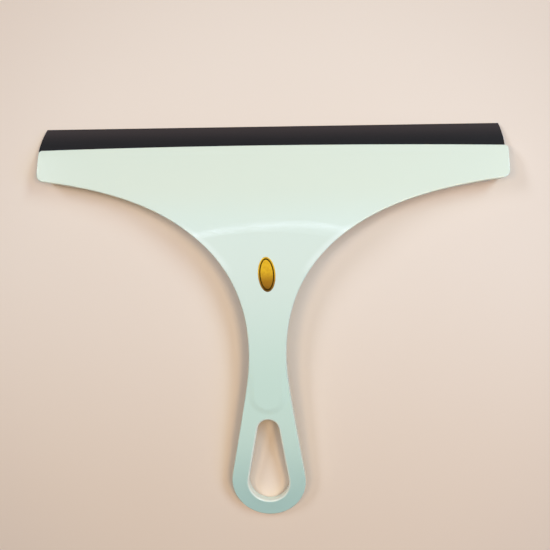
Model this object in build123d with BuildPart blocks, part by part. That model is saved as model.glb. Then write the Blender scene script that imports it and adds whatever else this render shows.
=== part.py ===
from build123d import *
from math import cos, degrees, radians, sin, sqrt, tan
import os

# Frame: the squeegee lies face up. X runs across the head, +Y points to the blade's edge, Z up.
# The origin is on the surface below the middle of its outline. Millimetres and degrees.
overall_length = 208.7
head_width = 244.7

# Side view of the moulding
head_tilt = 12.5
nose_height = 8.0
nose_bevel_run = 5.0
nose_bevel_tilt = 3.5
crease_setback = 41.5
crease_radius = 28.0
neck_slope = 1.5
grip_arch_radius = 2200.0
grip_arch_length = 96.0
grip_hollow_radius = 700.0
end_height = 4.8
back_crease_radius = 18.0

# Outline of the head from above
front_bow = 1.4
front_corner_radius = 2.0
head_end_slant = 0.5
wing_tip_setback = 14.45
wing_tip_radius = 3.8
wing_tip_slope = 7.7
wing_pull = 38.6
neck_pull = 70.6

# Outline of the handle from above
waist_width = 19.5
waist_setback = 108.3
waist_pull = 10.6
handle_flare = 10.2
flare_pull = 50.0
end_radius = 19.8

# Hang hole: two circles and their common tangents
hole_small_radius = 5.8
hole_large_radius = 10.9
hole_end_margin = 8.0
hole_pitch = 29.6

# Walls and ribs of the hollow back
skin = 2.2
wall = 2.0
rib = 1.4
rib_recess = 1.2
head_rib_pitch = 22.0
head_rib_count = 9
grip_rib_pitch = 17.0
grip_rib_count = 5
grip_rib_setback = 26.0

# Rounded edges
rim_fillet = 0.6
hole_fillet = 0.9

# Blade, and the channel that holds its foot
lip_reach = 10.7
lip_root_thickness = 2.3
lip_edge_thickness = 1.4
foot_thickness = 4.1
foot_depth = 2.9
throat_depth = 4.6
channel_clearance = 0.15
channel_back_wall = 2.0
blade_shift = -1.1
lip_cut_left = 3.7
lip_cut_right = 2.6
lip_cut_bulge = 0.5
foot_trim = 2.4

# Foil label on the neck
label_length = 18.0
label_width = 9.0
label_thickness = 0.12
label_glue = 0.03
label_lean = 3.4
label_setback = 66.7

# Length by which cutting shapes run past the part
spare = 20.0
# Upward share of a face's direction, below which it is a wall and above which it is a top
upright_limit = 0.01
level_limit = 0.5
# Pull of a cubic curve that follows a quarter circle, for each unit of its radius
quarter_arc_pull = 0.5523

# Places that follow from the sizes above
tilt = radians(head_tilt)
half_width = head_width / 2
tip_y = overall_length / 2
end_y = -overall_length / 2
front_y = tip_y - lip_reach * cos(tilt) - lip_edge_thickness / 2 * sin(tilt)
bevel_y = front_y - nose_bevel_run
bevel_slope = tan(radians(head_tilt + nose_bevel_tilt))
bevel_z = nose_height + nose_bevel_run * bevel_slope
crease_y = front_y - crease_setback
crease_z = bevel_z + (bevel_y - crease_y) * tan(tilt)
waist_y = front_y - waist_setback
hole_large_y = end_y + hole_end_margin + hole_large_radius
hole_small_y = hole_large_y + hole_pitch
label_y = front_y - label_setback
slant = radians(head_end_slant)
grip_heading = (-cos(radians(neck_slope)), -sin(radians(neck_slope)))
grip_arch_angle = degrees(grip_arch_length / grip_arch_radius)
reach_x = half_width + spare
depth_z = -crease_z - 2 * spare
hollow_rise = grip_hollow_radius - sqrt(grip_hollow_radius**2 - reach_x**2)
tip_center = Vector(half_width - wing_tip_radius, front_y - wing_tip_setback)
tip_stop = tip_center + Vector(cos(slant), sin(slant)) * wing_tip_radius
corner_y = front_y - front_bow
corner_x = tip_stop.X - (corner_y - tip_stop.Y) * tan(slant)
blade_left = blade_shift - corner_x
blade_right = blade_shift + corner_x
channel_plane = Plane((0, front_y, nose_height / 2), (0, cos(tilt), -sin(tilt)), (1, 0, 0))
channel_depth = throat_depth + foot_depth + 2 * channel_clearance
nose_back_y = front_y - channel_depth * cos(tilt) - foot_thickness / 2 * sin(tilt) - channel_back_wall


def side_plane(lift):
    """Plane of the side view, with Y to the right and Z up, raised by lift."""
    return Plane((0, 0, lift), (0, 1, 0), (1, 0, 0))


def plan_outline(inset):
    """Outline of the moulding seen from above, drawn in all round by inset."""
    tip_slope = radians(wing_tip_slope)
    flare = radians(handle_flare)
    tip_radius = wing_tip_radius - inset
    tip_start = tip_center + Vector(sin(tip_slope), -cos(tip_slope)) * tip_radius
    tip_stop = tip_center + Vector(cos(slant), sin(slant)) * tip_radius
    top_y = front_y - inset
    corner = Vector(tip_stop.X - (top_y - front_bow - tip_stop.Y) * tan(slant), top_y - front_bow)
    waist = Vector(waist_width / 2 - inset, waist_y)
    pull_growth = inset * quarter_arc_pull
    end_center = Vector(0, end_y + end_radius)
    end_start = end_center + Vector(cos(flare), sin(flare)) * (end_radius - inset)
    with BuildSketch() as plan:
        with BuildLine():
            Line(corner, tip_stop)
            CenterArc(tip_center, tip_radius, wing_tip_slope - 90, 90 - wing_tip_slope + head_end_slant)
            Bezier(
                tip_start,
                tip_start - Vector(cos(tip_slope), sin(tip_slope)) * (wing_pull + pull_growth),
                waist + Vector(0, neck_pull + pull_growth),
                waist,
            )
            Bezier(
                waist,
                waist - Vector(0, waist_pull),
                end_start + Vector(-sin(flare), cos(flare)) * flare_pull,
                end_start,
            )
            CenterArc(end_center, end_radius - inset, -90, 90 + handle_flare)
            mirror(about=Plane.YZ)
            ThreePointArc(corner, (0, top_y), (-corner.X, corner.Y))
        make_face()
        fillet(plan.vertices().sort_by(Axis.Y)[-2:], front_corner_radius)
    return plan.sketch


def hole_outline(margin):
    """Outline of the hang hole, grown all round by margin."""
    with BuildSketch() as hole:
        with Locations((0, hole_large_y)):
            Circle(hole_large_radius + margin)
        with Locations((0, hole_small_y)):
            Circle(hole_small_radius + margin)
        make_hull()
    return hole.sketch


def below_back():
    """Side view of all that lies below the edge of the hollow back."""
    slope = radians(neck_slope)
    with BuildSketch() as side:
        with BuildLine():
            head = Line((front_y, 0), (crease_y, crease_setback * tan(tilt)))
            grip = TangentArc(head @ 1, (end_y, 0), tangent=(-cos(slope), -sin(slope)))
            past_end = Line(grip @ 1, grip @ 1 + (grip % 1) * spare)
            past_front = Line(head @ 0, (front_y + spare, -spare * tan(tilt)))
            Polyline(past_end @ 1, ((past_end @ 1).X, -spare), ((past_front @ 1).X, -spare), past_front @ 1)
        make_face()
        fillet(side.vertices().sort_by(Axis.Y)[-1], back_crease_radius)
    return side.sketch


def rim_edges(faces):
    """Edges where the upright walls meet the faces that look up."""
    walls = faces.filter_by(lambda face: abs(face.normal_at().Z) < upright_limit)
    tops = faces.filter_by(lambda face: face.normal_at().Z > level_limit)
    return tops.edges() & walls.edges()


def end_cut(root_x, run, side):
    """Shape trimmed off one end of the blade, at root_x; side is 1 for the right end and -1 for the left."""
    with BuildSketch() as trimmed:
        with BuildLine():
            cut = SagittaArc((root_x, corner_y), (root_x - side * run, tip_y), -side * lip_cut_bulge)
            Polyline(
                cut @ 1,
                (root_x + side * spare, tip_y),
                (root_x + side * spare, nose_back_y),
                (root_x - side * foot_trim, nose_back_y),
                cut @ 0,
            )
        make_face()
    return trimmed.sketch


# All that lies below the visible face: the tilted head, met by the arched and slightly hollow grip
with BuildPart() as under_face:
    with BuildSketch(side_plane(0)):
        with BuildLine():
            Polyline(
                (bevel_y, bevel_z),
                (bevel_y + spare, bevel_z - spare * bevel_slope),
                (bevel_y + spare, -spare),
                (end_y - spare, -spare),
                (end_y - spare, crease_z + (crease_y - end_y + spare) * tan(tilt)),
                close=True,
            )
        make_face()
    extrude(amount=reach_x, both=True)
    with BuildLine(side_plane(0)):
        grip = JernArc((crease_y, crease_z), grip_heading, grip_arch_radius, grip_arch_angle)
        bend = TangentArc(grip @ 1, (end_y, end_height), tangent=grip % 1)
        Line(bend @ 1, bend @ 1 + (bend % 1) * spare)
        run_in = Line(grip @ 0 - (grip % 0) * (crease_setback + spare), grip @ 0)
    with BuildSketch(Plane(run_in @ 0, (1, 0, 0), run_in % 0)):
        with BuildLine():
            across = ThreePointArc((-reach_x, hollow_rise), (0, 0), (reach_x, hollow_rise))
            Polyline(across @ 0, (-reach_x, depth_z), (reach_x, depth_z), across @ 1)
        make_face()
    sweep(mode=Mode.INTERSECT)
    crease = under_face.edges().sort_by_distance((0, crease_y, crease_z))[0]
    fillet(crease, crease_radius)

# Ribs of the hollow back: one spine, ribs behind the blade and rungs along the grip
with BuildPart() as ribs:
    with BuildSketch(Plane.XY):
        with Locations((0, (end_y + front_y) / 2)):
            Rectangle(rib, front_y - end_y)
        with Locations((0, crease_y)):
            with GridLocations(head_rib_pitch, 0, head_rib_count, 1):
                Rectangle(rib, 2 * crease_setback)
        for rung in range(grip_rib_count):
            with Locations((0, crease_y - grip_rib_setback - rung * grip_rib_pitch)):
                Rectangle(head_width, rib)
        with Locations((0, hole_large_y)):
            Rectangle(head_width, rib)
    extrude(amount=crease_z)
    with BuildSketch(side_plane(rib_recess)):
        add(below_back())
    extrude(amount=head_width, both=True, mode=Mode.SUBTRACT)

# Space inside the hollow back, between the walls and under the skin
with BuildPart() as hollow:
    with BuildSketch(Plane.XY.offset(-spare)):
        add(plan_outline(wall))
        with Locations((0, nose_back_y + head_width / 2)):
            Rectangle(2 * head_width, head_width, mode=Mode.SUBTRACT)
        add(hole_outline(wall), mode=Mode.SUBTRACT)
    extrude(amount=2 * spare + crease_z)
    add(under_face.part.moved(Location((0, 0, -skin))), mode=Mode.INTERSECT)
    add(ribs.part, mode=Mode.SUBTRACT)

# The moulding: head, neck and handle in one shell
with BuildPart() as squeegee_body:
    with BuildSketch(Plane.XY.offset(-spare)):
        add(plan_outline(0))
    extrude(amount=2 * spare + crease_z)
    add(under_face.part, mode=Mode.INTERSECT)
    with BuildSketch(side_plane(0)):
        add(below_back())
    extrude(amount=head_width, both=True, mode=Mode.SUBTRACT)
    fillet(rim_edges(squeegee_body.faces()), rim_fillet)
    with BuildSketch(Plane.XY.offset(-spare)):
        add(hole_outline(0))
    extrude(amount=2 * spare + crease_z, mode=Mode.SUBTRACT)
    hole_walls = squeegee_body.faces(Select.LAST)
    fillet([hole_wall.edges().sort_by(Axis.Z)[-1] for hole_wall in hole_walls], hole_fillet)
    add(hollow.part, mode=Mode.SUBTRACT)
    with BuildSketch(channel_plane):
        with Locations((-throat_depth / 2 + spare / 2, 0)):
            Rectangle(throat_depth + spare, lip_root_thickness + 2 * channel_clearance)
        with Locations((-throat_depth - (channel_depth - throat_depth) / 2, 0)):
            Rectangle(channel_depth - throat_depth, foot_thickness + 2 * channel_clearance)
    extrude(amount=head_width, both=True, mode=Mode.SUBTRACT)
squeegee_body.part.label = "squeegee_body"

# The rubber strip: a tapered lip, a neck in the channel's throat and a foot behind it
with BuildPart() as rubber_blade:
    with BuildSketch(channel_plane.offset(blade_left)):
        with BuildLine():
            Polyline(
                (-throat_depth - channel_clearance, lip_root_thickness / 2),
                (0, lip_root_thickness / 2),
                (lip_reach, lip_edge_thickness / 2),
                (lip_reach, -lip_edge_thickness / 2),
                (0, -lip_root_thickness / 2),
                (-throat_depth - channel_clearance, -lip_root_thickness / 2),
                close=True,
            )
        make_face()
        with Locations((-throat_depth - channel_clearance - foot_depth / 2, 0)):
            Rectangle(foot_depth, foot_thickness)
    extrude(amount=blade_right - blade_left)
    with BuildSketch(Plane.XY.offset(-spare)):
        add(end_cut(blade_left, lip_cut_left, -1))
        add(end_cut(blade_right, lip_cut_right, 1))
    extrude(amount=2 * spare, mode=Mode.SUBTRACT)
rubber_blade.part.label = "rubber_blade"

# The foil label, lying on the curved face on its layer of glue
with BuildPart() as foil_label:
    with BuildSketch(Plane.XY):
        with Locations((0, label_y)):
            Ellipse(label_width / 2, label_length / 2, rotation=label_lean)
    extrude(amount=crease_z + spare)
    add(under_face.part.moved(Location((0, 0, label_glue + label_thickness))), mode=Mode.INTERSECT)
    add(under_face.part.moved(Location((0, 0, label_glue))), mode=Mode.SUBTRACT)
foil_label.part.label = "foil_label"

os.makedirs("parts", exist_ok=True)
export_step(squeegee_body.part, "parts/squeegee_body.step")
export_step(rubber_blade.part, "parts/rubber_blade.step")
export_step(foil_label.part, "parts/foil_label.step")
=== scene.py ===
"""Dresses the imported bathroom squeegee: finishes, the handle's soft forms, foil, floor, lamps and camera.

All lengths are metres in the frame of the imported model: X across the head, +Y to the blade's edge, Z up.
"""

import logging
import math
from dataclasses import dataclass
from enum import Enum
from typing import Any, Optional, Union

import bmesh
import bpy
import numpy as np
from mathutils import Matrix, Vector
from mathutils.bvhtree import BVHTree
from mathutils.geometry import delaunay_2d_cdt


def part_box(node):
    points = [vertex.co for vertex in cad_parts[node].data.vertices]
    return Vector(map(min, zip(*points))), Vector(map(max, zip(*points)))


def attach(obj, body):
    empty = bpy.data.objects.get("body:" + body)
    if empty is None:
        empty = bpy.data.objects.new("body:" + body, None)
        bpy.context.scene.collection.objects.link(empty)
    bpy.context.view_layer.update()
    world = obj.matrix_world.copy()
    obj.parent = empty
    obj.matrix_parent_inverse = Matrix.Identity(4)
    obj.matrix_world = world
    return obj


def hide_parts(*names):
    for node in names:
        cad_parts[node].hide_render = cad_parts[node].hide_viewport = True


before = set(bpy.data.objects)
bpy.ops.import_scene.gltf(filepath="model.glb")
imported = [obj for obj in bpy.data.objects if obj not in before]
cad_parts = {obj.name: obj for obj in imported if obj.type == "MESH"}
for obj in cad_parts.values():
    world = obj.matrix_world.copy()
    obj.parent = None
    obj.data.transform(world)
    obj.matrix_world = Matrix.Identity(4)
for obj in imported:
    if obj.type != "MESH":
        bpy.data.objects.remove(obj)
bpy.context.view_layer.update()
LOG = logging.getLogger("squeegee")
MM = 0.001
Triple = tuple[float, float, float]
Colour = Triple
Span = tuple[float, float]


class Body(Enum):
    """The record's rigid bodies."""

    MOULDING = "moulding"
    BLADE = "blade"


class Slot(Enum):
    """The record's material slots."""

    MINT = "mint_plastic"
    RUBBER = "black_rubber"
    FOIL = "gold_foil"


class Signal:
    """An output socket that takes part in Python expressions: each operator adds a Math node."""

    def __init__(self, board: "Board", socket: bpy.types.NodeSocket) -> None:
        """Keeps the socket and the board that new Math nodes go on."""
        self.board = board
        self.socket = socket

    def __add__(self, other: "Value") -> "Signal":
        """Sum."""
        return self.board.math("ADD", self, other)

    def __sub__(self, other: "Value") -> "Signal":
        """Difference."""
        return self.board.math("SUBTRACT", self, other)

    def __mul__(self, other: "Value") -> "Signal":
        """Product."""
        return self.board.math("MULTIPLY", self, other)

    def __truediv__(self, other: "Value") -> "Signal":
        """Quotient."""
        return self.board.math("DIVIDE", self, other)

    def __pow__(self, other: "Value") -> "Signal":
        """Power."""
        return self.board.math("POWER", self, other)

    def __radd__(self, other: float) -> "Signal":
        """Sum with a number on the left."""
        return self.board.math("ADD", other, self)

    def __rsub__(self, other: float) -> "Signal":
        """Difference from a number on the left."""
        return self.board.math("SUBTRACT", other, self)

    def __rmul__(self, other: float) -> "Signal":
        """Product with a number on the left."""
        return self.board.math("MULTIPLY", other, self)

    def __abs__(self) -> "Signal":
        """Value without its sign."""
        return self.board.math("ABSOLUTE", self, 0.0)

    def clip(self, low: float, high: float) -> "Signal":
        """Value kept between two limits, under the name that arrays have for it."""
        return self.board.math("MINIMUM", self.board.math("MAXIMUM", self, low), high)

    def step(self, start: float, stop: float) -> "Signal":
        """Smooth rise from 0 at start to 1 at stop.

        Args:
            start: value where the rise begins.
            stop: value where it ends; it may be below start.

        Returns:
            The risen signal, between 0 and 1.
        """
        ranged = self.board.node(
            "ShaderNodeMapRange",
            {"interpolation_type": "SMOOTHSTEP"},
            {"Value": self, "From Min": start, "From Max": stop},
        )
        return self.board.out(ranged, "Result")


Value = Union[Signal, float]
Tone = Union[Signal, Colour]
Field = Union[Signal, np.ndarray]


class Board:
    """A node tree with short ways to add nodes and link them."""

    def __init__(self, tree: bpy.types.NodeTree) -> None:
        """Takes the tree over and empties it."""
        self.tree = tree
        self.tree.nodes.clear()

    def node(
        self,
        kind: str,
        settings: Optional[dict[str, Any]] = None,
        inputs: Optional[dict[Union[str, int], Any]] = None,
    ) -> bpy.types.Node:
        """Adds any node.

        Args:
            kind: the node's type.
            settings: the node's own properties, which are set first.
            inputs: socket name or number to a plain value or a Signal.

        Returns:
            The new node.
        """
        made = self.tree.nodes.new(kind)
        for name, value in (settings or {}).items():
            setattr(made, name, value)
        for key, value in (inputs or {}).items():
            socket = made.inputs[key]
            if isinstance(value, Signal):
                self.tree.links.new(value.socket, socket)
            else:
                socket.default_value = value
        return made

    def out(self, made: bpy.types.Node, name: Union[str, int] = 0) -> Signal:
        """One output of a node as a Signal."""
        return Signal(self, made.outputs[name])

    def math(self, operation: str, first: Value, second: Value) -> Signal:
        """One Math node on two values."""
        return self.out(self.node("ShaderNodeMath", {"operation": operation}, {0: first, 1: second}))

    def blend(self, share: Value, low: Tone, high: Tone) -> Signal:
        """Mixes two colours.

        Args:
            share: how much of the second colour shows.
            low: the first colour, plain or a Signal.
            high: the second colour, plain or a Signal.

        Returns:
            The mixed colour.
        """
        made = self.node("ShaderNodeMix", {"data_type": "RGBA"}, {0: share})
        for socket, colour in ((made.inputs[6], low), (made.inputs[7], high)):
            if isinstance(colour, Signal):
                self.tree.links.new(colour.socket, socket)
            else:
                socket.default_value = (*colour, 1.0)
        return self.out(made, 2)

    def place(self, scale: Triple = (1.0, 1.0, 1.0)) -> Signal:
        """Object coordinates.

        Args:
            scale: stretch of the coordinates along each axis.

        Returns:
            The coordinates.
        """
        where = self.out(self.node("ShaderNodeTexCoord"), "Object")
        made = self.node(
            "ShaderNodeMapping", {"vector_type": "POINT"}, {"Vector": where, "Scale": scale}
        )
        return self.out(made)

    def axes(self, where: Signal) -> tuple[Signal, Signal, Signal]:
        """The three parts of a vector."""
        made = self.node("ShaderNodeSeparateXYZ", inputs={0: where})
        return self.out(made, 0), self.out(made, 1), self.out(made, 2)

    def attribute(self, name: str) -> Signal:
        """A value that the mesh carries by name."""
        return self.out(self.node("ShaderNodeAttribute", {"attribute_name": name}), "Fac")

    def noise(self, where: Signal, scale: float, detail: float = 2.0, rough: float = 0.5) -> Signal:
        """Fractal noise about 0.5.

        Args:
            where: the coordinates.
            scale: waves to the metre.
            detail: octaves.
            rough: weight of the finer octaves.

        Returns:
            The noise value.
        """
        made = self.node(
            "ShaderNodeTexNoise",
            inputs={"Vector": where, "Scale": scale, "Detail": detail, "Roughness": rough},
        )
        return self.out(made, 0)

    def seen(self) -> Signal:
        """What the camera sees, straight, in a reflection or through glass.

        Returns:
            1 on such a light path, and 0 on one that lights the rest.
        """
        path = self.node("ShaderNodeLightPath")
        straight = self.out(path, "Is Camera Ray")
        return straight + self.out(path, "Is Glossy Ray") + self.out(path, "Is Transmission Ray")

    def relief(self, height: Signal, depth: float, strength: float = 1.0) -> Signal:
        """A normal from a height.

        Args:
            height: the height signal.
            depth: metres that a height of 1 stands for.
            strength: share of the effect.

        Returns:
            The bent normal.
        """
        made = self.node(
            "ShaderNodeBump", inputs={"Height": height, "Distance": depth, "Strength": strength}
        )
        return self.out(made)


class Finish:
    """What all finishes share: a named material.

    In a finish, a span is where a share starts to rise and where it is whole. A scale is waves to the metre.
    """

    title = "finish"

    def start(self) -> Board:
        """Makes the material.

        Returns:
            The board of its node tree.
        """
        self.made = bpy.data.materials.new(self.title)
        self.made.use_nodes = True
        return Board(self.made.node_tree)

    def close(self, board: Board, inputs: dict[str, Any]) -> bpy.types.Material:
        """Ends the board in a Principled shader.

        Args:
            board: the material's board.
            inputs: the shader's sockets, plain values or Signals.

        Returns:
            The finished material.
        """
        shader = board.node("ShaderNodeBsdfPrincipled", inputs=inputs)
        board.node("ShaderNodeOutputMaterial", inputs={"Surface": board.out(shader)})
        return self.made


@dataclass(frozen=True)
class Stretch:
    """A stretch along Y over which a colour turns into another one."""

    start: float
    stop: float
    tone: Colour


@dataclass(frozen=True)
class HangHole:
    """The teardrop hole in the handle: all circles between a large and a small one on the middle line."""

    large_y: float = -85.45 * MM
    pitch: float = 29.6 * MM
    large_radius: float = 10.9 * MM
    small_radius: float = 5.8 * MM

    def distance(self, x: Field, y: Field) -> Field:
        """Distance out from the hole's edge.

        The circles' radius shrinks evenly along Y. The nearest circle stands at y less |x| times the taper,
        kept between the two ends; its radius is taken off the distance.

        Args:
            x: the X coordinate, a signal or an array.
            y: the Y coordinate, of the same kind.

        Returns:
            The distance in metres, below 0 inside the hole.
        """
        sine = (self.large_radius - self.small_radius) / self.pitch
        taper = sine / math.sqrt(1 - sine**2)
        up = y - self.large_y
        side = abs(x)
        nearest = (up - side * taper).clip(0.0, self.pitch)
        away = side * side + (up - nearest) * (up - nearest)
        return away**0.5 - (self.large_radius - nearest * sine)


class MintPlastic(Finish):
    """Satin injection moulding: a very fine grain, and painted light and shade in its tones.

    The neck's half width is a cubic of y in millimetres, with the constant factor first. The spans of the
    painted shoulder highlight are millimetres too.
    """

    title = "mint_plastic"
    tone: Colour = (0.73, 0.812, 0.705)
    # Painted light and shade along Y over a somewhat cooler tint of the plastic: lighter and bluer across the
    # crease, then darker down to the handle's end, where less light falls.
    tint_and_shade_stretches: tuple[Stretch, ...] = (
        Stretch(75 * MM, 45 * MM, (0.72, 0.845, 0.78)),
        Stretch(40 * MM, -40 * MM, (0.592, 0.783, 0.70)),
        Stretch(-50 * MM, -104 * MM, (0.415, 0.627, 0.588)),
    )
    cloud_tone: Colour = (0.60, 0.76, 0.69)
    cloud_span: Span = (0.3, 0.7)
    cloud_share = 0.08
    # Painted highlight: the handle's walls and fillets that face sideways are paler, as if they caught the
    # lamps.
    side_highlight_tone: Colour = (0.74, 0.86, 0.77)
    side_span: Span = (20 * MM, -15 * MM)
    # Painted light: the hole's rim and the upper part of its wall are paler, as if lit.
    rim_highlight_tone: Colour = (0.84, 0.88, 0.79)
    rim_span: Span = (1.1 * MM, 0.2 * MM)
    rim_rise: Span = (1.0 * MM, 5.0 * MM)
    # Painted highlight: a paler band along both sides of the neck below the crease.
    shoulder_highlight_tone: Colour = (0.78, 0.905, 0.855)
    neck_half: tuple[float, ...] = (6.208, 0.6257, -0.010126, 0.00023987)
    neck_lean = 0.72
    shoulder_light_inset: Span = (4.0, 1.0)
    shoulder_light_start: Span = (25.0, 34.0)
    shoulder_light_stop: Span = (55.0, 48.0)
    cloud_scale = 22.0
    wave_scale = 260.0
    grain_scale = 3200.0
    wave_height = 0.006
    grain_height = 0.004
    roughness = 0.13
    cloud_roughness = 0.05
    grain_roughness = 0.03
    refraction = 1.49

    def shoulder_highlight(self, x: Signal, y: Signal) -> Signal:
        """Share of the painted highlight along both sides of the neck, where it widens into the head.

        What is left of the neck's half width beyond |x|, times the cosine of the outline's mean lean, is
        about the distance from the side.

        Args:
            x: the X coordinate.
            y: the Y coordinate.

        Returns:
            The share: 1 along the side, and 0 further in and past both ends of the band.
        """
        along = y / MM
        flat, rise, bend, flare = self.neck_half
        half = ((along * flare + bend) * along + rise) * along + flat
        inset = (half - abs(x) / MM) * self.neck_lean
        return inset.step(*self.shoulder_light_inset) * along.step(*self.shoulder_light_start) * along.step(*self.shoulder_light_stop)

    def colour(self, board: Board, where: Signal, clouds: Signal) -> Signal:
        """Mixes the colour: the tones along Y with their painted light and shade, on them clouds, and painted
        highlights on the sides, the hole's rim and the shoulders.

        Args:
            board: the material's board.
            where: the coordinates.
            clouds: the slow noise.

        Returns:
            The colour.
        """
        x, y, z = board.axes(where)
        tone: Tone = self.tone
        for stretch in self.tint_and_shade_stretches:
            tone = board.blend(y.step(stretch.start, stretch.stop), tone, stretch.tone)
        rim = HangHole().distance(x, y).step(*self.rim_span) * z.step(*self.rim_rise)
        layers = (
            (clouds.step(*self.cloud_span) * self.cloud_share, self.cloud_tone),
            (board.attribute("side") * y.step(*self.side_span), self.side_highlight_tone),
            (rim, self.rim_highlight_tone),
            (self.shoulder_highlight(x, y), self.shoulder_highlight_tone),
        )
        for share, layer in layers:
            tone = board.blend(share, tone, layer)
        return tone

    def material(self) -> bpy.types.Material:
        """Builds the material: its colour, slow clouds in the gloss, and a relief of waves and grain.

        Returns:
            The material.
        """
        board = self.start()
        where = board.place()
        clouds = board.noise(where, self.cloud_scale, detail=3.0)
        waves = board.noise(where, self.wave_scale)
        grain = board.noise(where, self.grain_scale)
        height = waves * self.wave_height + grain * self.grain_height
        return self.close(
            board,
            {
                "Base Color": self.colour(board, where, clouds),
                "Roughness": self.roughness + self.cloud_roughness * clouds + self.grain_roughness * grain,
                "Normal": board.relief(height, MM),
                "IOR": self.refraction,
            },
        )


class BlackRubber(Finish):
    """Matt black rubber: greyer towards the wiping edge, with fine lines along the strip and some dust."""

    title = "black_rubber"
    root_tone: Colour = (0.005, 0.0052, 0.0075)
    edge_tone: Colour = (0.035, 0.0275, 0.029)
    edge_span: Span = (93.7 * MM, 104.4 * MM)
    edge_power = 1.6
    dust_tone: Colour = (0.035, 0.033, 0.033)
    dust_span: Span = (0.45, 0.8)
    dust_share = 0.25
    line_stretch: Triple = (0.02, 1.0, 1.0)
    line_scale = 1500.0
    grain_scale = 2600.0
    line_share = 0.7
    depth = 0.05 * MM
    strength = 0.6
    roughness = 0.62
    line_roughness = 0.16
    specular = 0.2

    def material(self) -> bpy.types.Material:
        """Builds the material: a tone that rises to the edge, dust, and a relief of lines along X and grain.

        Returns:
            The material.
        """
        board = self.start()
        where = board.place()
        _, y, _ = board.axes(where)
        lines = board.noise(board.place(self.line_stretch), self.line_scale, detail=3.0)
        grain = board.noise(where, self.grain_scale, detail=3.0, rough=0.6)
        tone = board.blend(y.step(*self.edge_span) ** self.edge_power, self.root_tone, self.edge_tone)
        height = lines * self.line_share + grain * (1 - self.line_share)
        return self.close(
            board,
            {
                "Base Color": board.blend(
                    grain.step(*self.dust_span) * self.dust_share, tone, self.dust_tone
                ),
                "Roughness": self.roughness + self.line_roughness * lines,
                "Normal": board.relief(height, self.depth, self.strength),
                "Specular IOR Level": self.specular,
            },
        )


class GoldFoil(Finish):
    """Gold foil with a dark printed border line, faint crinkles and a painted sheen.

    The border's two edges and its softness are millimetres in from the foil's edge. The spans of the painted
    sheen's bright and deep tone are shares of the half length from the middle.
    """

    title = "gold_foil"
    # Painted sheen: the foil's reflection is painted brighter towards the top of the oval and deep towards its
    # bottom.
    sheen_bright: Colour = (0.54, 0.365, 0.015)
    dull: Colour = (0.255, 0.13, 0.005)
    sheen_deep: Colour = (0.10, 0.05, 0.003)
    ink: Colour = (0.02, 0.012, 0.001)
    border_in = 0.75
    border_out = 1.6
    border_soft = 0.12
    border_sunk = 0.4
    centre_y = 27.05 * MM
    half_length = 9.0 * MM
    sheen_bright_span: Span = (-0.55, 0.30)
    sheen_deep_span: Span = (-0.50, -1.0)
    crinkle_scale = 700.0
    crinkle_span: Span = (0.35, 0.75)
    crinkle_share = 0.35
    depth = 0.06 * MM
    strength = 0.6
    metal = 0.75
    border_metal = 0.2
    roughness = 0.3
    crinkle_roughness = 0.15

    def border(self, inset: Signal) -> Signal:
        """Share of the border line at a distance in from the foil's edge."""
        outer = inset.step(self.border_in - self.border_soft, self.border_in + self.border_soft)
        return outer * inset.step(self.border_out + self.border_soft, self.border_out - self.border_soft)

    def material(self) -> bpy.types.Material:
        """Builds the material: a gold with a painted sheen, bright at the top and deep at the bottom of the
        oval, crinkles, and the sunk border line.

        Returns:
            The material.
        """
        board = self.start()
        where = board.place()
        _, y, _ = board.axes(where)
        along = (y - self.centre_y) / self.half_length
        border = self.border(board.attribute("edge_mm"))
        crinkle = board.noise(where, self.crinkle_scale, detail=3.0, rough=0.6)
        gold = board.blend(along.step(*self.sheen_bright_span), self.dull, self.sheen_bright)
        gold = board.blend(along.step(*self.sheen_deep_span), gold, self.sheen_deep)
        gold = board.blend(crinkle.step(*self.crinkle_span) * self.crinkle_share, gold, self.dull)
        return self.close(
            board,
            {
                "Base Color": board.blend(border, gold, self.ink),
                "Metallic": self.metal + self.border_metal * border,
                "Roughness": self.roughness + self.crinkle_roughness * crinkle,
                "Normal": board.relief(crinkle - border * self.border_sunk, self.depth, self.strength),
            },
        )


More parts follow.
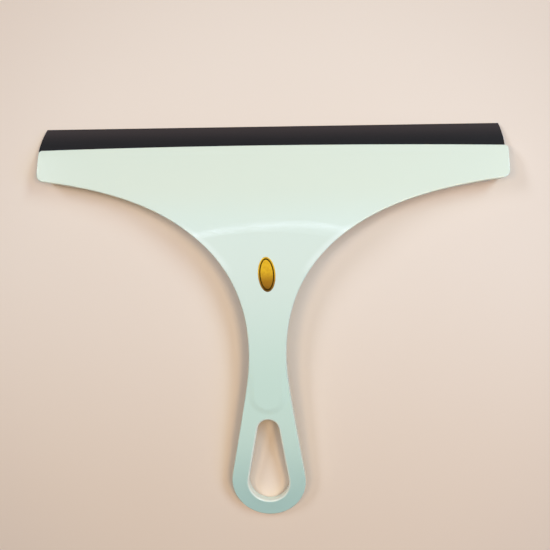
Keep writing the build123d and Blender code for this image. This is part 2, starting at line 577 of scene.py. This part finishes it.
class PaleFloor(Finish):
    """A plain pale table top with painted shade: darker and warmer towards the handle's end, darker outwards,
    far away the backdrop.
    """

    title = "pale_floor"
    far_tone: Colour = (0.83, 0.725, 0.64)
    # Painted shade: the floor darkens and warms towards the handle's end, where less lamp light falls.
    near_shade_tone: Colour = (0.79, 0.65, 0.535)
    near_shade_span: Span = (60 * MM, -130 * MM)
    cloud_scale = 9.0
    cloud_span: Span = (0.3, 0.7)
    cloud_share = 0.06
    # Painted shade: the floor is darker outwards from the object, where the lamps' light falls off.
    edge_tone: Colour = (0.74, 0.62, 0.53)
    edge_span: Span = (130 * MM, 260 * MM)
    backdrop: Colour = (0.644, 0.54, 0.462)
    fade_span: Span = (240 * MM, 420 * MM)
    roughness = 0.85
    specular = 0.2

    def material(self) -> bpy.types.Material:
        """Builds the material: painted shade as two tones along Y with a trace of cloud, a painted darker edge
        and the far fade.

        Returns:
            The material.
        """
        board = self.start()
        where = board.place()
        x, y, _ = board.axes(where)
        away = (x * x + y * y) ** 0.5
        clouds = board.noise(where, self.cloud_scale, detail=3.0).step(*self.cloud_span)
        near = y.step(*self.near_shade_span) * (1 - self.cloud_share) + clouds * self.cloud_share
        middle = board.blend(near, self.far_tone, self.near_shade_tone)
        top = board.node(
            "ShaderNodeBsdfPrincipled",
            inputs={
                "Base Color": board.blend(away.step(*self.edge_span), middle, self.edge_tone),
                "Roughness": self.roughness,
                "Specular IOR Level": self.specular,
            },
        )
        glow = board.node("ShaderNodeEmission", inputs={"Color": (*self.backdrop, 1.0), "Strength": 1.0})
        fade = away.step(*self.fade_span) * board.seen()
        mixed = board.node("ShaderNodeMixShader", inputs={0: fade, 1: board.out(top), 2: board.out(glow)})
        board.node("ShaderNodeOutputMaterial", inputs={"Surface": board.out(mixed)})
        return self.made


def smooth(value: np.ndarray, start: float, stop: float) -> np.ndarray:
    """Smooth rise from 0 at start to 1 at stop, as Signal.step has it: t * t * (3 - 2 * t) of the way t."""
    way = ((value - start) / (stop - start)).clip(0.0, 1.0)
    return way * way * (3 - 2 * way)


def node_points(name: str) -> np.ndarray:
    """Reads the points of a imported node's mesh.

    Args:
        name: the node's name.

    Returns:
        The points, a row each.
    """
    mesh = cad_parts[name].data
    flat = np.zeros(len(mesh.vertices) * 3, np.float32)
    mesh.vertices.foreach_get("co", flat)
    return flat.reshape(-1, 3).astype(float)


def triangle_below(tree: BVHTree, places: np.ndarray, above: float = 1.0) -> np.ndarray:
    """Looks straight down on triangles.

    Args:
        tree: the triangles.
        places: X and Y of each look, a row each.
        above: the height that it starts from.

    Returns:
        The number of the triangle under each place, or -1.
    """
    hits = (tree.ray_cast((x, y, above), (0.0, 0.0, -1.0))[2] for x, y in places)
    return np.array([-1 if hit is None else hit for hit in hits])


def join_places(places: np.ndarray, edges: np.ndarray, reach: float = 1e-6) -> np.ndarray:
    """Joins places in the plane by a constrained Delaunay triangulation of their hull, in millimetres.

    Args:
        places: X and Y, a row each.
        edges: pairs of place numbers that have to be edges.
        reach: places closer than this count as one.

    Returns:
        Three place numbers a triangle.
    """
    whole_hull = 0
    found = delaunay_2d_cdt(
        [Vector(place) for place in places / MM], edges.tolist(), [], whole_hull, reach
    )
    triangles, origins = found[2:4]
    return np.array([origin[0] for origin in origins])[np.array(triangles)]


@dataclass
class Facets:
    """Triangles as arrays: points, and each triangle's three point numbers, three normals and patch number.

    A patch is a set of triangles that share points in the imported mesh: one face of the solid.
    """

    points: np.ndarray
    triangles: np.ndarray
    normals: np.ndarray
    patches: np.ndarray
    merge: float = 1e-7
    side_span: Span = (0.85, 0.35)

    @classmethod
    def of_node(cls, name: str) -> "Facets":
        """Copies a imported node's mesh and merges its doubles.

        Args:
            name: the node's name.

        Returns:
            The copy, without triangles that the merging closed up.
        """
        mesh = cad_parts[name].data
        numbers = np.zeros(len(mesh.loops), np.int32)
        mesh.loops.foreach_get("vertex_index", numbers)
        normals = np.zeros(len(mesh.loops) * 3, np.float32)
        mesh.corner_normals.foreach_get("vector", normals)
        normals = normals.reshape(-1, 3, 3).astype(float)
        places = node_points(name)
        keys = np.round(places / cls.merge)
        _, first, merged = np.unique(keys, axis=0, return_index=True, return_inverse=True)
        triangles = merged.ravel()[numbers].reshape(-1, 3)
        whole = (triangles != np.roll(triangles, 1, axis=1)).all(axis=1)
        patches = cls.patch_numbers(numbers.reshape(-1, 3))
        return cls(places[first], triangles[whole], normals[whole], patches[whole])

    @staticmethod
    def patch_numbers(triangles: np.ndarray) -> np.ndarray:
        """Numbers the patches: a triangle's lowest point number spreads to its points until nothing changes.

        Args:
            triangles: three point numbers a triangle.

        Returns:
            The patch number of each triangle.
        """
        lowest = np.arange(triangles.max() + 1)
        while True:
            spread = lowest.copy()
            np.minimum.at(spread, triangles, lowest[triangles].min(axis=1)[:, None])
            if (spread == lowest).all():
                return lowest[triangles[:, 0]]
            lowest = spread

    def border(self, chosen: np.ndarray) -> np.ndarray:
        """Finds the edges that only one of the chosen triangles has.

        Args:
            chosen: which triangles, a bool each.

        Returns:
            The edges, pairs of point numbers.
        """
        corners = self.triangles[chosen]
        edges = np.concatenate([corners[:, [0, 1]], corners[:, [1, 2]], corners[:, [2, 0]]])
        edges, uses = np.unique(np.sort(edges, axis=1), axis=0, return_counts=True)
        return edges[uses == 1]

    def inner_places(self, border: np.ndarray, spacing: float) -> np.ndarray:
        """Lays a grid of even triangles over the border's box, clear of the border.

        The rows of such a grid lie the root of 3/4 of a step apart, and every other one is half a step aside.

        Args:
            border: the border's edges, pairs of point numbers.
            spacing: the grid's step.

        Returns:
            X and Y of the points more than half a step from every edge, a row each.
        """
        edges = self.points[border, :2]
        low, high = edges.min(axis=(0, 1)), edges.max(axis=(0, 1))
        columns = np.arange(low[0], high[0], spacing)
        rows = np.arange(low[1], high[1], spacing * math.sqrt(0.75))
        x, y = np.meshgrid(columns, rows)
        x[1::2] += spacing / 2
        grid = np.stack([x.ravel(), y.ravel()], axis=1)
        gap = np.full(len(grid), np.inf)
        for start, stop in edges:
            way = stop - start
            share = ((grid - start) @ way / (way @ way)).clip(0.0, 1.0)
            gap = np.minimum(gap, np.linalg.norm(grid - start - share[:, None] * way, axis=1))
        return grid[gap > spacing / 2]

    def lifted(self, places: np.ndarray, under: np.ndarray) -> tuple[np.ndarray, np.ndarray]:
        """Puts places on the triangles below them.

        Height and normal are the corners' ones by barycentric shares, which are solved from the corners' x, y
        and 1 and the place's x, y and 1.

        Args:
            places: X and Y, a row each.
            under: the number of the triangle under each place.

        Returns:
            The points, and their normals, not yet of length 1.
        """
        corners = self.points[self.triangles[under]].transpose(0, 2, 1)
        flat_corners = np.concatenate([corners[:, :2], np.ones((len(places), 1, 3))], axis=1)
        target = np.concatenate([places, np.ones((len(places), 1))], axis=1)[..., None]
        shares = np.linalg.solve(flat_corners, target)
        points = np.concatenate([places, (corners[:, 2:] @ shares)[:, 0]], axis=1)
        return points, (self.normals[under].transpose(0, 2, 1) @ shares)[..., 0]

    def refine(self, chosen: np.ndarray, spacing: float) -> "Facets":
        """Replaces triangles that face up by even ones over the same surface, with the same border.

        Args:
            chosen: which triangles, a bool each.
            spacing: the step of the grid that they get.

        Returns:
            The refined copy.
        """
        old = self.triangles[chosen]
        tree = BVHTree.FromPolygons(self.points.tolist(), old.tolist())
        border = self.border(chosen)
        rim, ends = np.unique(border, return_inverse=True)
        inner = self.inner_places(border, spacing)
        under = triangle_below(tree, inner)
        inner, under = inner[under >= 0], under[under >= 0]
        added, added_normals = self.lifted(inner, np.flatnonzero(chosen)[under])
        rim_normals = np.zeros_like(self.points)
        np.add.at(rim_normals, old, self.normals[chosen])
        bent = np.concatenate([rim_normals[rim], added_normals])
        bent /= np.linalg.norm(bent, axis=1, keepdims=True)

        flat = np.concatenate([self.points[rim, :2], inner])
        new = join_places(flat, ends.reshape(-1, 2))
        new = new[triangle_below(tree, flat[new].mean(axis=1)) >= 0]
        number = np.concatenate([rim, len(self.points) + np.arange(len(inner))])
        triangles = np.concatenate([self.triangles[~chosen], number[new]])
        used, triangles = np.unique(triangles, return_inverse=True)
        points = np.concatenate([self.points, added])[used]
        normals = np.concatenate([self.normals[~chosen], bent[new]])
        new_patch = np.full(len(new), self.patches[chosen].min())
        patches = np.concatenate([self.patches[~chosen], new_patch])
        return Facets(points, triangles.reshape(-1, 3), normals, patches)

    def mesh(self, name: str) -> bpy.types.Mesh:
        """Makes a smooth mesh with the normals as they are.

        Args:
            name: the mesh's name.

        Returns:
            The mesh, with how far each corner faces sideways as its attribute "side".
        """
        mesh = bpy.data.meshes.new(name)
        mesh.from_pydata(self.points, [], self.triangles.tolist())
        mesh.polygons.foreach_set("use_smooth", np.ones(len(mesh.polygons), bool))
        mesh.normals_split_custom_set(self.normals.reshape(-1, 3).tolist())
        sideways = smooth(self.normals[..., 2], *self.side_span)
        side = mesh.attributes.new("side", "FLOAT", "CORNER")
        side.data.foreach_set("value", sideways.astype(np.float32).ravel())
        return mesh


def grid_mesh(name: str, points: np.ndarray, ring: bool) -> bpy.types.Mesh:
    """Makes a mesh from a grid of points.

    Args:
        name: the mesh's name.
        points: array of rows by columns by 3.
        ring: whether the last column joins the first.

    Returns:
        The mesh, with one quad for each cell of the grid.
    """
    rows, columns = points.shape[:2]
    index = np.arange(rows * columns).reshape(rows, columns)
    right = np.roll(index, -1, axis=1)
    cells = np.stack([index[:-1], right[:-1], right[1:], index[1:]], axis=-1)
    quads = (cells if ring else cells[:, :-1]).reshape(-1, 4)
    mesh = bpy.data.meshes.new(name)
    mesh.from_pydata(points.reshape(-1, 3), [], quads.tolist())
    mesh.polygons.foreach_set("use_smooth", np.ones(len(mesh.polygons), bool))
    return mesh


def weld(mesh: bpy.types.Mesh, reach: float = 1e-7) -> None:
    """Merges points that lie together, which closes seams and poles.

    Args:
        mesh: the mesh, which is changed.
        reach: how far apart such points may lie.
    """
    work = bmesh.new()
    work.from_mesh(mesh)
    bmesh.ops.remove_doubles(work, verts=work.verts[:], dist=reach)
    work.to_mesh(mesh)
    work.free()


def put(name: str, mesh: bpy.types.Mesh, material: bpy.types.Material) -> bpy.types.Object:
    """Links a mesh into the scene.

    Args:
        name: the object's name.
        mesh: its mesh, with its place in it.
        material: its one material.

    Returns:
        The object, at the origin.
    """
    mesh.materials.append(material)
    made = bpy.data.objects.new(name, mesh)
    bpy.context.scene.collection.objects.link(made)
    return made


@dataclass
class Moulding:
    """The one-piece head, neck and handle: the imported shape, with the soft forms of the handle's face added.

    The forms are the step round the grip's pad, whose lower end is a half circle, and the ring's hollow.
    """

    node: str = "squeegee_body"
    pad_y: float = -36.8 * MM
    pad_half: float = 8.8 * MM
    pad_soft: float = 2.0 * MM
    pad_fade: float = -14.0 * MM
    pad_step: float = 0.5 * MM
    ring_middle: float = 3.8 * MM
    ring_span: Span = (-70.0 * MM, -84.0 * MM)
    ring_hollow: float = 0.10 * MM
    face_stop: float = -9.0 * MM
    face_low: float = 3.0 * MM
    face_up: float = 0.9
    skin_span: Span = (4.0 * MM, 1.5 * MM)
    crown_degree: int = 4
    spacing: float = 0.7 * MM
    nudge: float = 0.02 * MM

    def form(self, x: np.ndarray, y: np.ndarray) -> np.ndarray:
        """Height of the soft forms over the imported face.

        The pad's edge is at a fixed distance from a ray up the middle of the grip; past it the face is lower,
        which fades out up the grip. The hollow is a parabola across the ring, by the distance from the hole.

        Args:
            x: the X coordinates.
            y: the Y coordinates.

        Returns:
            The heights: 0 on the pad and negative past its edge.
        """
        away = np.hypot(x, np.minimum(y - self.pad_y, 0.0)) - self.pad_half
        step = smooth(away, -self.pad_soft, self.pad_soft) * smooth(y, self.pad_fade, self.pad_y)
        across = HangHole().distance(x, y) / self.ring_middle - 1.0
        hollow = (1.0 - across * across) * smooth(y, *self.ring_span)
        return -self.pad_step * step - self.ring_hollow * hollow

    def face(self, facets: Facets) -> np.ndarray:
        """Finds the triangles on the handle's face.

        Args:
            facets: the whole moulding's triangles.

        Returns:
            A bool each: on a patch that faces up all over, as no fillet does, and on the handle.
        """
        lowest = np.ones(facets.patches.max() + 1)
        np.minimum.at(lowest, facets.patches, facets.normals[..., 2].min(axis=1))
        _, y, z = np.moveaxis(facets.points[facets.triangles], -1, 0)
        on_handle = ((y < self.face_stop) & (z > self.face_low)).all(axis=1)
        return on_handle & (lowest[facets.patches] > self.face_up)

    def bend(self, facets: Facets, crown: np.polynomial.Polynomial) -> None:
        """Moves the handle's skin by the soft forms, and turns its normals with it.

        A point moves by its share of the form's height h: all of it in the skin below the face, none of it
        deeper. A normal n of the moved skin is n less n.z times the gradient of h.

        Args:
            facets: the triangles, whose points and normals are changed.
            crown: the height of the handle's face along Y.
        """
        x, y, z = facets.points.T
        share = smooth(crown(y.clip(y.min(), self.face_stop)) - z, *self.skin_span)
        rise_x = (self.form(x + self.nudge, y) - self.form(x - self.nudge, y)) / (2 * self.nudge)
        rise_y = (self.form(x, y + self.nudge) - self.form(x, y - self.nudge)) / (2 * self.nudge)
        rise = np.stack([share * rise_x, share * rise_y], axis=1)
        facets.points[:, 2] += share * self.form(x, y)
        facets.normals[..., :2] -= rise[facets.triangles] * facets.normals[..., 2:]
        facets.normals /= np.linalg.norm(facets.normals, axis=2, keepdims=True)

    def build(self) -> bpy.types.Object:
        """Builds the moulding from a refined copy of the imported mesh, in its satin plastic.

        Returns:
            The moulding's object.
        """
        facets = Facets.of_node(self.node)
        face = self.face(facets)
        _, y, z = facets.points[np.unique(facets.triangles[face])].T
        facets = facets.refine(face, self.spacing)
        self.bend(facets, np.polynomial.Polynomial.fit(y, z, self.crown_degree))
        made = put("mint_moulding", facets.mesh("mint_moulding"), MintPlastic().material())
        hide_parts(self.node)
        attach(made, Body.MOULDING.value)
        return made


@dataclass
class Blade:
    """The rubber strip in the head's channel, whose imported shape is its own."""

    node: str = "rubber_blade"

    def dress(self) -> bpy.types.Object:
        """Gives the strip its rubber.

        Returns:
            The strip's object.
        """
        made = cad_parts[self.node]
        made.data.materials.clear()
        made.data.materials.append(BlackRubber().material())
        return made


@dataclass
class FoilLabel:
    """The oval foil label on the neck."""

    node: str = "foil_label"
    length: float = 18.0 * MM
    width: float = 9.0 * MM
    lean: float = math.radians(3.4)
    thickness: float = 0.12 * MM
    roll: float = 0.03
    core: float = 0.05
    rings: int = 24
    curl_rings: int = 9
    spokes: int = 160
    rim_angle: float = math.radians(75)

    def face_height(self) -> np.ndarray:
        """Fits the height of the label's middle surface as a quadratic of x and y, by least squares.

        Returns:
            The six factors of 1, x, y, x*x, x*y and y*y.
        """
        x, y, z = node_points(self.node).T
        terms = np.stack([np.ones_like(x), x, y, x * x, x * y, y * y], axis=1)
        return np.linalg.lstsq(terms, z, rcond=None)[0]

    def surface(self) -> tuple[np.ndarray, np.ndarray]:
        """Works out the label as a closed surface of two parameters.

        The first parameter runs from the middle of the underside out to the rim and back above to the middle,
        the second round the oval. The radius share s sets x and y on an ellipse. The height is half a
        thickness below or above a middle surface, and the top falls to the rim as a quarter round. The
        distance in from the edge is about (1 - s * s) / (2 * s * slope), with the slope of the ellipse's own
        formula there; inside the core s is held.

        Returns:
            The points, rows by columns by 3, and the distances in from the edge in millimetres.
        """
        low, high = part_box(self.node)
        centre = (low + high) / 2
        curl = np.linspace(math.pi / 2, 0.0, self.curl_rings)
        flat = np.linspace(1 - self.roll, 0.0, self.rings)[1:]
        above = np.concatenate([1 - self.roll + self.roll * np.sin(curl), flat])
        below = np.linspace(0.0, 1.0, self.rings)
        share = np.concatenate([below, above])[:, None]
        fall = np.concatenate([np.zeros_like(below), np.cos(curl), np.ones_like(flat)])[:, None] - 0.5
        turn = np.linspace(0.0, 2 * math.pi, self.spokes, endpoint=False)[None, :]
        across = share * np.cos(turn) * self.width / 2
        along = share * np.sin(turn) * self.length / 2
        x = centre.x + across * math.cos(self.lean) - along * math.sin(self.lean)
        y = centre.y + across * math.sin(self.lean) + along * math.cos(self.lean)
        f = self.face_height()
        middle = f[0] + f[1] * x + f[2] * y + f[3] * x * x + f[4] * x * y + f[5] * y * y
        slope = np.hypot(np.cos(turn) / (self.width / 2), np.sin(turn) / (self.length / 2))
        inset = (1 - share**2) / (2 * np.maximum(share, self.core) * slope) / MM
        return np.stack([x, y, middle + self.thickness * fall], axis=-1), inset

    def build(self) -> bpy.types.Object:
        """Builds the label's skin, in its foil.

        Returns:
            The label's object.
        """
        points, inset = self.surface()
        mesh = grid_mesh(self.node + "_skin", points, ring=True)
        edge = mesh.attributes.new("edge_mm", "FLOAT", "POINT")
        edge.data.foreach_set("value", inset.astype(np.float32).ravel())
        weld(mesh)
        mesh.set_sharp_from_angle(angle=self.rim_angle)
        made = put("foil_oval", mesh, GoldFoil().material())
        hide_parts(self.node)
        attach(made, Body.MOULDING.value)
        return made


@dataclass(frozen=True)
class LampSpec:
    """One soft lamp: a flat oval panel that faces the middle of the object, in metres, watts and degrees."""

    place: Triple
    width: float
    length: float
    power: float
    tone: Colour
    spin: float = 0.0


class Lamp(Enum):
    """The soft lamps: cool panels behind and beside the head, small warm ones and a narrow strip overhead."""

    RIGHT = LampSpec((0.54, 0.43, 0.66), 0.22, 0.50, 3.28, (0.63, 0.87, 1.0), 40.2)
    LEFT = LampSpec((-0.57, 0.35, 0.60), 0.20, 0.46, 2.52, (0.76, 0.87, 1.0), -47.4)
    SIDE = LampSpec((0.65, 0.0, 0.60), 0.40, 0.40, 1.71, (0.37, 0.55, 1.0))
    HIGH_RIGHT = LampSpec((0.28, 0.05, 0.70), 0.20, 0.20, 2.03, (1.0, 0.75, 0.465))
    HIGH_LEFT = LampSpec((-0.28, 0.05, 0.70), 0.20, 0.20, 1.17, (1.0, 0.79, 0.55))
    STRIP = LampSpec((-0.055, 0.205, 0.75), 0.03, 0.50, 0.42, (0.72, 0.77, 1.0), -61.0)


@dataclass
class Studio:
    """Floor, lamps, world light and camera, with its turn in degrees and its lens in pixels of the view."""

    floor_half: float = 3.0
    floor_lines: int = 25
    ambient: float = 0.03
    ambient_tone: Colour = (1.0, 0.90, 0.80)
    camera_at: Triple = (23.97 * MM, 44.56 * MM, 319.3 * MM)
    camera_turn: Triple = (-3.356, 3.731, -0.197)
    camera_near: float = 0.01
    lens_pixels: float = 595.0
    view_pixels: float = 550.0
    sensor_mm: float = 36.0

    def floor(self) -> None:
        """Lays the floor: a flat grid at height 0 whose cells widen with the cube of their distance."""
        step = np.linspace(-1.0, 1.0, self.floor_lines) ** 3 * self.floor_half
        x, y = np.meshgrid(step, step)
        mesh = grid_mesh("floor", np.stack([x, y, np.zeros_like(x)], axis=-1), ring=False)
        put("floor", mesh, PaleFloor().material())

    def lamps(self) -> None:
        """Hangs the soft lamps, each turned to the middle of the object."""
        for lamp in Lamp:
            spec = lamp.value
            data = bpy.data.lights.new(lamp.name.lower() + "_lamp", "AREA")
            data.shape = "ELLIPSE"
            data.size = spec.width
            data.size_y = spec.length
            data.energy = spec.power
            data.color = spec.tone
            made = bpy.data.objects.new(data.name, data)
            aim = (-Vector(spec.place)).to_track_quat("-Z", "Y").to_matrix().to_4x4()
            spin = Matrix.Rotation(math.radians(spec.spin), 4, "Z")
            made.matrix_world = Matrix.Translation(spec.place) @ aim @ spin
            bpy.context.scene.collection.objects.link(made)

    def world(self) -> None:
        """Sets an even ambient light, and the backdrop that camera and reflections see past the floor."""
        world = bpy.data.worlds.new("soft_room")
        bpy.context.scene.world = world
        world.use_nodes = True
        board = Board(world.node_tree)
        light, view = (
            board.node("ShaderNodeBackground", inputs={"Color": (*tone, 1.0), "Strength": strength})
            for tone, strength in ((self.ambient_tone, self.ambient), (PaleFloor.backdrop, 1.0))
        )
        mixed = board.node(
            "ShaderNodeMixShader", inputs={0: board.seen(), 1: board.out(light), 2: board.out(view)}
        )
        board.node("ShaderNodeOutputWorld", inputs={"Surface": board.out(mixed)})

    def camera(self) -> None:
        """Sets the camera at the photograph's place, looking down on the face."""
        data = bpy.data.cameras.new("view")
        data.sensor_width = self.sensor_mm
        data.lens = self.lens_pixels / self.view_pixels * self.sensor_mm
        data.clip_start = self.camera_near
        made = bpy.data.objects.new("view", data)
        bpy.context.scene.collection.objects.link(made)
        about_x, about_y, about_z = (
            Matrix.Rotation(math.radians(angle), 4, axis) for angle, axis in zip(self.camera_turn, "XYZ")
        )
        made.matrix_world = Matrix.Translation(self.camera_at) @ about_y @ about_x @ about_z
        bpy.context.scene.camera = made

    def build(self) -> None:
        """Sets up the whole studio."""
        bpy.context.scene.view_settings.view_transform = "Standard"
        self.floor()
        self.lamps()
        self.world()
        self.camera()


def main() -> None:
    """Builds the studio, then dresses the object piece by piece."""
    logging.basicConfig(level=logging.INFO, format="%(name)s: %(message)s")
    Studio().build()
    for made in (Moulding().build(), Blade().dress(), FoilLabel().build()):
        LOG.info("dressed %s", made.name)


if __name__ == "__main__":
    main()
